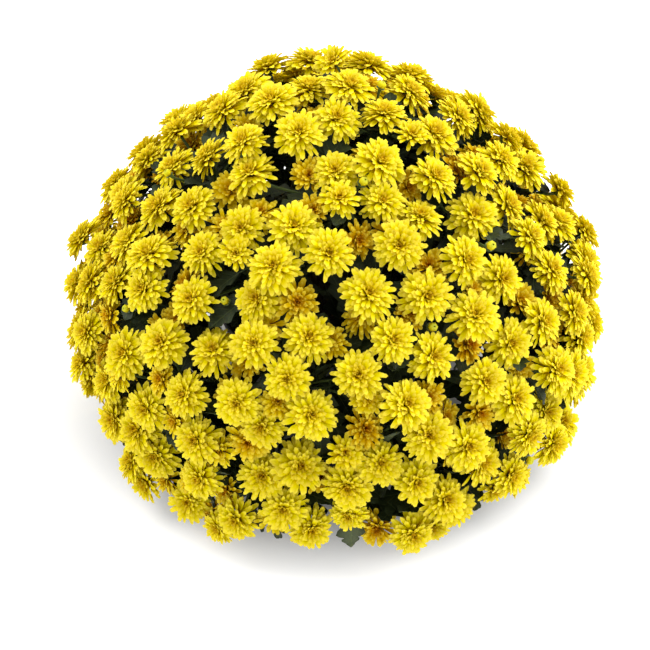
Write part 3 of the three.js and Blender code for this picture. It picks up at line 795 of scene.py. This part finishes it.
def blade_faces(rows, columns):
    """Triangles of a leaf's two sides, which share the points of its edge. Their diagonals fan out from the
    middle, so that no triangle has its three corners on the edge, where both sides would have it."""
    row, column = np.indices((rows - 1, columns - 1))
    mirrored = ((2 * row < rows - 1) != (2 * column < columns - 1)).ravel()[:, None]
    index = np.arange(rows * columns).reshape(rows, columns)
    under = index.copy()
    inner = (rows - 2) * (columns - 2)
    under[1:-1, 1:-1] = rows * columns + np.arange(inner).reshape(rows - 2, columns - 2)
    faces = []
    for side, order in ((index, 1), (under, -1)):
        corners = (side[:-1, :-1], side[1:, :-1], side[1:, 1:], side[:-1, 1:])
        a, b, c, d = (corner.ravel() for corner in corners)
        first = np.where(mirrored, np.stack([a, b, d], 1), np.stack([a, b, c], 1))
        second = np.where(mirrored, np.stack([b, c, d], 1), np.stack([a, c, d], 1))
        faces.append(joined(first, second)[:, ::order])
    return np.concatenate(faces)


BLADE_FACES = blade_faces(len(LEAF_OUTLINE), len(LEAF_ACROSS))
DEEP_FACES = blade_faces(len(DEEP_OUTLINE), len(DEEP_ACROSS))


def add_leaf(skin, leaf, chance):
    form, spread = (DEEP_OUTLINE, DEEP_ACROSS) if leaf.deep else (LEAF_OUTLINE, LEAF_ACROSS)
    along, half = form.T[..., None]
    across = half * spread
    # Lobes sweep forward, so the outer parts of each cross section stand further along.
    reach = np.minimum(1, along + LOBE_SWEEP * np.abs(across) * (along < 0.95))
    ripple = RIPPLE * np.sin(RIPPLES * reach + chance.uniform(0, 6)) * np.abs(spread)
    lift = (LEAF_FOLD * np.abs(across) + ripple) * leaf.length
    inner = np.zeros(across.shape, bool)
    inner[1:-1, 1:-1] = True
    reach, across, inner = reach.ravel(), across.ravel(), inner.ravel()
    hand = 1 if cross(leaf.out, leaf.across) @ leaf.face > 0 else -1
    top = leaf_point(leaf, reach, across * hand) + np.outer(lift, leaf.face)
    below = top[inner] - leaf.face * LEAF_THICKNESS
    marks = {"along": joined(reach, reach[inner]), "across": joined(across, across[inner])}
    marks["under"] = joined(np.zeros(len(top)), np.ones(len(below)))
    faces = DEEP_FACES if leaf.deep else BLADE_FACES
    skin.add(joined(top, below), faces, shade=chance.uniform(0, 1), leaf=1.0, **marks)


def dome_depth(points):
    """How far each point lies below the dome's surface."""
    radius = np.hypot(points[:, 0], points[:, 1])
    apart = np.stack([radius, points[:, 2]], 1)[:, None] - OUTLINE[None]
    nearest = np.argmin((apart**2).sum(2), 1)
    ahead = np.gradient(OUTLINE, axis=0)[nearest]
    out = np.stack([-ahead[:, 1], ahead[:, 0]], 1) / np.linalg.norm(ahead, axis=1)[:, None]
    return -(apart[np.arange(len(points)), nearest] * out).sum(1)


# Where leaves stand on a pedicel, as shares of its length: the heads of the skirt hide less of the ground
BRACTS = (0.12, 0.4)
SKIRT_BRACTS = (0.12, 0.32, 0.5, 0.66, 0.8, 0.92)
SKIRT_TOP = 100
# How many places for more leaves there are up a stem, along a branch and up a spray's stalk, and what
# they are like
STEM_LEAVES = 9
BRANCH_LEAVES = 8
STALK_LEAVES = 12
MORE_TRIES = 16
MORE_LENGTH = (30, 54)
MORE_SPREAD = (-0.2, 1.3)
MORE_TURN = 0.6
MORE_TO_HEAD = 0.5
LEAST_DEPTH = 4  # below the dome, at which a leaf may be
DEEP = 11  # from where on it is made with fewer points


def add_foliage(stem, heads, chance):
    """More leaves than the solids have: up the stem, along its branches and round each spray's stalk."""
    placed = slice(len(heads.all))
    rise = stem.fork - stem.hole
    spots = [(stem.hole + rise * t, unit(rise)) for t in np.linspace(0.15, 1, STEM_LEAVES)]
    for branch in stem.branches:
        for t in np.linspace(0.05, 0.99, BRANCH_LEAVES):
            i = int(t * BRANCH_STEPS)
            step = branch.points[i + 1] - branch.points[i]
            spots.append((branch.points[i] + step * (t * BRANCH_STEPS - i), unit(step)))
        spray = branch.spray
        stalk = spray.hub - spray.foot
        spots += [(spray.foot + stalk * t, spray.axis) for t in np.linspace(0, 1, STALK_LEAVES)]
        for head in spray.heads:
            shares = SKIRT_BRACTS if head.calyx[2] < SKIRT_TOP else BRACTS
            spots += [(head.root + (head.calyx - head.root) * t, head.rise) for t in shares]
    turn = chance.uniform(0, 6)
    for start, along in spots:
        turn += GOLDEN_ANGLE
        for _ in range(MORE_TRIES):
            aside = turn + chance.uniform(-MORE_TURN, MORE_TURN)
            spread, length = chance.uniform(*MORE_SPREAD), chance.uniform(*MORE_LENGTH)
            leaf = leaf_from(start, along, spread, aside, length)
            points = leaf_point(leaf, *LEAF_TESTS)
            depth = dome_depth(points)
            if misplaced(points) or (depth < LEAST_DEPTH).any():
                continue
            if heads.hold(placed, points[None], MORE_TO_HEAD):
                continue
            leaf.deep = depth.min() > DEEP
            stem.leaves.append(leaf)
            break


# --- Finishes ---


class Value:
    """A number or colour that varies over a surface: an expression on values adds its Math nodes."""

    def __init__(self, finish, socket):
        self.finish = finish
        self.socket = socket

    def maths(self, operation, first, second=0.0):
        return self.finish.node("Math", {"operation": operation}, {0: first, 1: second})

    def __add__(self, other):
        return self.maths("ADD", self, other)

    def __sub__(self, other):
        return self.maths("SUBTRACT", self, other)

    def __rsub__(self, other):
        return self.maths("SUBTRACT", other, self)

    def __mul__(self, other):
        return self.maths("MULTIPLY", self, other)

    def sine(self):
        return self.maths("SINE", self)

    def size(self):
        return self.maths("ABSOLUTE", self)


class Finish:
    """A material, put together node by node."""

    def __init__(self, name):
        self.material = bpy.data.materials.new(name)
        self.material.use_nodes = True
        self.tree = self.material.node_tree
        self.tree.nodes.clear()
        self.place = self.node("TexCoord", output="Object")

    def node(self, kind, settings=None, sockets=None, output=0):
        """Adds a node, sets it up, gives its sockets numbers, values, or colours as three numbers, and
        returns the value of one of its outputs."""
        made = self.tree.nodes.new("ShaderNode" + kind)
        for name, value in (settings or {}).items():
            setattr(made, name, value)
        for key, value in (sockets or {}).items():
            if isinstance(value, Value):
                self.tree.links.new(value.socket, made.inputs[key])
            else:
                made.inputs[key].default_value = colour(*value) if isinstance(value, tuple) else value
        return Value(self, made.outputs[output]) if made.outputs else None

    def marks(self, *names):
        """The skin's point marks of these names."""
        return [self.node("Attribute", {"attribute_name": name}, output="Fac") for name in names]

    def along_axis(self, name):
        return self.node("SeparateXYZ", None, {0: self.place}, name)

    def noise(self, scale, detail=3.0):
        return self.node("TexNoise", None, {"Vector": self.place, "Scale": scale, "Detail": detail})

    def step(self, value, low, high):
        """0 below low, 1 above high and smooth between them."""
        return self.node("MapRange", {"interpolation_type": "SMOOTHSTEP"}, {0: value, 1: low, 2: high})

    def blend(self, amount, first, second):
        return self.node("Mix", {"data_type": "RGBA"}, {0: amount, 6: first, 7: second}, 2)

    def bump(self, height, strength, distance):
        return self.node("Bump", None, {"Height": height, "Strength": strength, "Distance": distance})

    def surface(self, body, roughness, glow=None, share=0.0, **sockets):
        """Ends the material: a coat of colour, and for thin parts a share of light that passes through."""
        named = {"Base Color": body, "Roughness": roughness}
        named |= {name.replace("_", " "): value for name, value in sockets.items()}
        shader = self.node("BsdfPrincipled", None, named)
        if glow:
            through = self.node("BsdfTranslucent", None, {"Color": glow})
            shader = self.node("MixShader", None, {0: share, 1: shader, 2: through})
        self.node("OutputMaterial", None, {"Surface": shader})
        return self.material


def colour(red, green, blue):
    """A screen colour, from 0 to 255, as the light that Blender reckons with."""
    light = [c / 255 / 12.92 if c <= 10 else ((c / 255 + 0.055) / 1.055) ** 2.4 for c in (red, green, blue)]
    return (*light, 1.0)


PETAL_MARKS = ("along", "across", "ring", "tone", "shade", "young")
GREEN_MARKS = ("along", "across", "under", "shade", "leaf", "wood")


def petal_finish():
    look = Finish("petal")
    along, across, ring, tone, shade, young = look.marks(*PETAL_MARKS)
    grain = look.noise(900.0)
    tip = look.step(along, 0.7, 1.0)
    foot = 1 - look.step(along, 0.1, 0.7)
    heart = look.step(ring, 0.35, 1.0)
    core = look.step(ring, 0.8, 1.0)
    veins = (across * 11.0).sine().size()
    edge = look.step(across.size(), 0.35, 1.0)
    body = look.blend(shade, (229, 217, 0), (239, 230, 0))
    # Deeper gold towards each petal's foot: partly its own colour, partly painted shade where petals overlap.
    body = look.blend(foot * 0.9, body, (204, 142, 0))
    body = look.blend(heart * (tone * 0.4 + 0.4), body, (234, 184, 0))
    body = look.blend(tip * (edge * 0.4 + 0.6) * (1 - core * 0.6), body, (247, 231, 90))
    # The tone mark carries a young head's own brown and painted shade that grows with its depth.
    body = look.blend(core * (1 - tip * 0.6) * (tone * 0.3 + 0.6), body, (160, 74, 0))
    body = look.blend(tone * tone * (1 - tip * 0.8) * (heart * 0.3 + 0.6), body, (186, 84, 0))
    body = look.blend((veins * 0.5 + grain) * 0.1, body, (214, 170, 0))
    body = look.blend(tip * young * 0.6 + young * 0.2, body, (190, 200, 60))
    relief = look.bump(veins * 0.6 + grain * 0.5, 0.35, 0.0006)
    return look.surface(body, grain * 0.2 + 0.5, (252, 222, 0), 0.22, Specular_IOR_Level=0.02, Normal=relief)


def green_finish():
    """Leaves and soft stems, which go woody and brown low down."""
    look = Finish("leaf_and_stem")
    along, across, under, shade, leaf, wood = look.marks(*GREEN_MARKS)
    blotch, grain = look.noise(90.0), look.noise(1100.0)
    width = across.size()
    midrib = 1 - look.step(width, 0.004, 0.014)
    veins = 1 - look.step(((along - width * 0.9) * 22.0).sine().size(), 0.05, 0.3)
    veins = veins * (1 - look.step(width, 0.16, 0.24)) * 0.6
    lines = leaf * look.step(midrib + veins, 0.0, 1.0)
    body = look.blend(shade * 0.6 + blotch * 0.5, (26, 35, 13), (46, 57, 22))
    body = look.blend(under * 0.6, body, (74, 82, 52))
    body = look.blend(lines * 0.4, body, (84, 98, 48))
    stalk = look.blend(blotch, (66, 84, 34), (86, 102, 46))
    stalk = look.blend(wood, stalk, (78, 60, 38))
    body = look.blend(leaf, stalk, body)
    relief = look.bump(grain * 0.4 + (1 - lines) * 0.7, 0.4, 0.0008)
    return look.surface(body, grain * 0.2 + 0.5, (60, 86, 18), 0.08, Specular_IOR_Level=0.3, Normal=relief)


def pot_finish():
    look = Finish("pot_plastic")
    haze, grain, smear = look.noise(14.0), look.noise(1600.0), look.noise(60.0, 6.0)
    low = 1 - look.step(look.along_axis("Z"), 0.0, 0.02)
    dust = look.step(smear, 0.52, 0.75) * 0.35 + low * 0.25
    body = look.blend(haze, (26, 28, 25), (36, 38, 34))
    body = look.blend(dust, body, (82, 72, 56))
    relief = look.bump(grain * 0.3 + smear * 0.7, 0.15, 0.0005)
    return look.surface(body, dust * 0.5 + grain * 0.1 + 0.38, Normal=relief)


def soil_finish():
    look = Finish("potting_soil")
    crumb, clod, fleck = look.noise(420.0, 8.0), look.noise(90.0), look.noise(1500.0)
    body = look.blend(crumb, (28, 19, 13), (74, 54, 38))
    body = look.blend(look.step(fleck, 0.6, 0.72) * 0.5, body, (124, 98, 68))
    relief = look.bump(crumb + clod * 0.6, 0.8, 0.002)
    return look.surface(body, crumb * 0.1 + 0.85, Normal=relief)


def bark_finish():
    look = Finish("bark")
    streak, grain = look.noise(240.0, 6.0), look.noise(900.0)
    body = look.blend(streak, (58, 38, 24), (128, 92, 60))
    relief = look.bump(streak * 0.7 + grain * 0.3, 0.6, 0.001)
    return look.surface(body, grain * 0.15 + 0.75, Normal=relief)


# The floor's painted light: it glows beyond an oval and stays dark inside it, a painted shadow under the
# plant.
# In metres: how far back the oval's middle lies, how much x counts, where the glow begins and where it is
# full
GLOW_BACK = 0.12
GLOW_OVAL = 0.75
GLOW_FROM = 0.2
GLOW_FULL = 0.33
GLOW_LIGHT = 0.6


def floor_finish():
    """A white floor with painted light: it glows beyond an oval and stays dark under the plant, a painted
    shadow.
    """
    look = Finish("studio_floor")
    body = look.blend(look.noise(3.0), (225, 225, 225), (228, 228, 228))
    x, y = look.along_axis("X"), look.along_axis("Y") - GLOW_BACK
    # Painted light: the floor glows outside this oval, which is left dark as a painted shadow under the
    # plant.
    painted_light_mask = look.step(x * x * GLOW_OVAL + y * y, GLOW_FROM**2, GLOW_FULL**2)
    glow = look.blend(painted_light_mask, (0, 0, 0), (255, 255, 255))
    return look.surface(body, 0.9, Specular_IOR_Level=0.1, Emission_Color=glow, Emission_Strength=GLOW_LIGHT)


# --- Pieces ---


def added(name, data):
    """A new object in the scene."""
    made = bpy.data.objects.new(name, data)
    bpy.context.scene.collection.objects.link(made)
    return made


def shown(name, skin, finish, crease=60):
    """A mesh object of the skin's triangles, in metres."""
    mesh = bpy.data.meshes.new(name)
    points, faces = np.concatenate(skin.points) * MM, np.concatenate(skin.faces)
    mesh.from_pydata(points.tolist(), [], faces.tolist(), False)
    for mark, values in skin.marks.items():
        mesh.attributes.new(mark, "FLOAT", "POINT").data.foreach_set("value", np.concatenate(values))
    mesh.set_sharp_from_angle(angle=radians(crease))
    mesh.materials.append(finish)
    return added(name, mesh)


def dress(piece, slot, *nodes):
    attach(piece, "root")
    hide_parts(*nodes)


def number(k):
    return str(k + 1).zfill(2)


PETAL = petal_finish()
for spray in sprays:
    chance = np.random.RandomState(500 + spray.k)
    blooms = Skin(*PETAL_MARKS)
    for head in spray.heads:
        if head.sort is BUD:
            add_bud(blooms, head, chance)
        else:
            add_bloom(blooms, head, SMALL_BLOOM if head.sort is SMALL else LARGE_BLOOM, chance)
    dress(shown("blooms_" + number(spray.k), blooms, PETAL), "petals", "flower_spray_" + number(spray.k))

GREEN = green_finish()
for k, stem in enumerate(stems):
    chance = np.random.RandomState(900 + k)
    add_foliage(stem, heads, chance)
    growth = Skin(*GREEN_MARKS)
    add_branchwork(growth, stem)
    for leaf in stem.leaves:
        add_leaf(growth, leaf, chance)
    carried = ["flower_spray_" + number(branch.spray.k) for branch in stem.branches]
    dress(shown("leafy_growth_" + number(k), growth, GREEN), "foliage", "leafy_stem_" + number(k), *carried)


POT_SIDES = 120
DRAIN_SIDES = 28
HARD_CREASE = 35
SOIL_SIDES = 96
SOIL_ROWS = 40
# The soil's top: how many waves it has, their height, how far it has sunk, and its crumbs
WAVES = 24
WAVE_HEIGHT = 0.22
SINK = 0.8
CRUMB = 0.25
# Bits of bark: how many, how far out they lie, and their length, width and thickness
BARK_BITS = 170
BARK_REACH = 82
BARK_SIZES = ((3, 9), (1.6, 4), (0.8, 1.8))


def pot_radius(height):
    return POT_BASE_RADIUS + (POT_TOP_RADIUS - POT_BASE_RADIUS) * height / POT_HEIGHT


def make_pot():
    """The pot: a tapered wall, a banded rim with a rolled lip, a rounded foot and holes through its floor."""
    step = POT_HEIGHT - RIM_HEIGHT
    top = POT_TOP_RADIUS + RIM_STEP
    band = pot_radius(step) + RIM_STEP
    base, lip, wide = POT_BASE_RADIUS, POT_HEIGHT, pot_radius
    inner = wide(4) - POT_WALL
    profile = [
        (0, 1.2), (base - 12, 1.2), (base - 9, 0), (base - 1.5, 0), (base - 0.3, 0.5), (wide(2), 2),
        (wide(18), 18), (wide(19) + 0.8, 19.2), (wide(22) + 0.8, 22), (wide(23), 23.4),
        (wide(step - 1), step - 1.2), (wide(step) + 0.7, step - 0.3), (band - 0.5, step), (band, step + 0.6),
        (top - 0.6, lip - 3), (top + 0.3, lip - 2.4), (top + 0.6, lip - 1.4), (top + 0.1, lip - 0.4),
        (top - 0.8, lip), (top - POT_WALL + 0.4, lip - 0.3), (top - POT_WALL, lip - 1),
        (band - POT_WALL, step + POT_WALL), (wide(step) - POT_WALL, step), (wide(6) - POT_WALL, 6),
        (inner - 1.5, POT_FLOOR + 0.4), (inner - 4, POT_FLOOR), (0, POT_FLOOR),
    ]
    skin = Skin()
    turned(skin, profile, POT_SIDES)
    holes = Skin()
    drill = [(0, -2), (DRAIN_RADIUS, -2), (DRAIN_RADIUS, POT_FLOOR + 2), (0, POT_FLOOR + 2)]
    for i in range(DRAIN_COUNT):
        turned(holes, drill, DRAIN_SIDES, polar(DRAIN_CIRCLE, 2 * pi * i / DRAIN_COUNT, 0))
    finish = pot_finish()
    pot = shown("grower_pot", skin, finish)
    drill = shown("drill", holes, finish)
    cut = pot.modifiers.new("drain_holes", "BOOLEAN")
    cut.object = drill
    cut.operation = "DIFFERENCE"
    cleaned = bmesh.new()
    cleaned.from_object(pot, bpy.context.evaluated_depsgraph_get())
    pot.modifiers.clear()
    bpy.data.objects.remove(drill)
    bmesh.ops.triangulate(cleaned, faces=cleaned.faces)
    bmesh.ops.dissolve_degenerate(cleaned, dist=2e-6, edges=cleaned.edges)
    cleaned.to_mesh(pot.data)
    cleaned.free()
    pot.data.set_sharp_from_angle(angle=radians(HARD_CREASE))
    return pot


def make_soil():
    """Potting soil with an uneven, crumbly top."""
    chance = np.random.RandomState(77)
    bottom = POT_FLOOR + FIT_GAP
    edge = pot_radius(SOIL_TOP) - POT_WALL - FIT_GAP
    profile = [(0, bottom), (pot_radius(bottom) - POT_WALL - FIT_GAP - 3, bottom), (edge, SOIL_TOP - 3)]
    profile += [(edge * (1 - (i + 1) / SOIL_ROWS), SOIL_TOP) for i in range(SOIL_ROWS - 1)] + [(0, SOIL_TOP)]
    skin = Skin()
    turned(skin, profile, SOIL_SIDES)
    points = skin.points[0]
    top = points[:, 2] > SOIL_TOP - 1
    waves = chance.uniform(-1, 1, (WAVES, 2)) * chance.uniform(0.05, 0.6, (WAVES, 1))
    phase = chance.uniform(0, 6.3, WAVES)
    lumps = np.sin(points[top, :2] @ waves.T + phase).sum(1) * WAVE_HEIGHT
    points[top, 2] += lumps - SINK + chance.uniform(-CRUMB, CRUMB, top.sum())
    return shown("potting_soil", skin, soil_finish())


def make_bark():
    """Bits of bark and root that lie in the soil's top."""
    chance = np.random.RandomState(78)
    skin = Skin()
    for _ in range(BARK_BITS):
        radius, angle = BARK_REACH * sqrt(chance.uniform()), chance.uniform(0, 6.3)
        long, wide, thick = (chance.uniform(*size) for size in BARK_SIZES)
        axis = unit(np.array([*chance.uniform(-1, 1, 2), chance.uniform(-0.25, 0.25)]))
        start = polar(radius, angle, SOIL_TOP - 0.2)
        shape = [(0, -long / 2), (wide / 2, -long * 0.42), (wide / 2, long * 0.36)]
        shape += [(wide * 0.3, long / 2), (0, long / 2)]
        first = len(skin.points)
        turned(skin, shape, 6, start, axis)
        chip = skin.points[first]
        chip += chance.uniform(-0.35, 0.35, chip.shape)
        chip[:, 2] = SOIL_TOP - 0.2 + (chip[:, 2] - SOIL_TOP + 0.2) * (thick / wide)
    return shown("bark_bits", skin, bark_finish(), HARD_CREASE)


dress(make_pot(), "pot", "pot")
dress(make_soil(), "soil", "soil")
dress(make_bark(), "soil", "soil")

# --- Studio ---

CAMERA_RISE = radians(34.8)
CAMERA_DISTANCE = 1.229
FOCAL_PIXELS = 1543
PICTURE_PIXELS = 650
# How far the middle of the dome's widest level stands right of the picture's middle, and above it
RIGHT_PIXELS = 10
ABOVE_PIXELS = 53
FLOOR_REACH = 9000
SKY_LIGHT = 1.11
LAMP_AIM = (0, 0, 0.15)
# Each lamp's name, place, width and watts
LAMPS = (
    ("key", (1.75, 0.0, 1.7), 1.7, 42),
    ("fill", (-1.6, 0.4, 1.7), 1.6, 31),
    ("top", (0.9, 1.1, 2.1), 1.8, 27),
)


def make_floor():
    ground = Skin()
    corners = np.array([[-1, -1, 0], [1, -1, 0], [1, 1, 0], [-1, 1, 0]]) * FLOOR_REACH
    ground.add(corners, np.array([[0, 1, 2], [0, 2, 3]]))
    shown("studio_floor", ground, floor_finish())


def make_camera():
    data = bpy.data.cameras.new("camera")
    data.lens = data.sensor_width * FOCAL_PIXELS / PICTURE_PIXELS
    data.clip_end = 100
    camera = added("camera", data)
    back = np.array([0, -cos(CAMERA_RISE), sin(CAMERA_RISE)])
    over = np.array([0, sin(CAMERA_RISE), cos(CAMERA_RISE)])
    middle = UP * (WIDEST_HEIGHT * MM)
    aim = middle - (over * ABOVE_PIXELS + EAST * RIGHT_PIXELS) * (CAMERA_DISTANCE / FOCAL_PIXELS)
    camera.location = middle + back * CAMERA_DISTANCE
    aim_at(camera, aim)
    bpy.context.scene.camera = camera


def aim_at(thing, point):
    """Turns a camera or a lamp to face a point."""
    ahead = Vector(point) - thing.location
    thing.rotation_mode = "QUATERNION"
    thing.rotation_quaternion = ahead.to_track_quat("-Z", "Y")


def make_lamp(name, place, size, watts):
    data = bpy.data.lights.new(name, "AREA")
    data.shape = "DISK"
    data.size = size
    data.energy = watts
    lamp = added(name, data)
    lamp.location = place
    aim_at(lamp, LAMP_AIM)


def make_world():
    world = bpy.data.worlds.new("studio")
    world.use_nodes = True
    sky = world.node_tree.nodes["Background"]
    sky.inputs["Color"].default_value = (1, 1, 1, 1)
    sky.inputs["Strength"].default_value = SKY_LIGHT
    bpy.context.scene.world = world
    bpy.context.scene.view_settings.view_transform = "Standard"


make_floor()
make_camera()
make_world()
for lamp in LAMPS:
    make_lamp(*lamp)
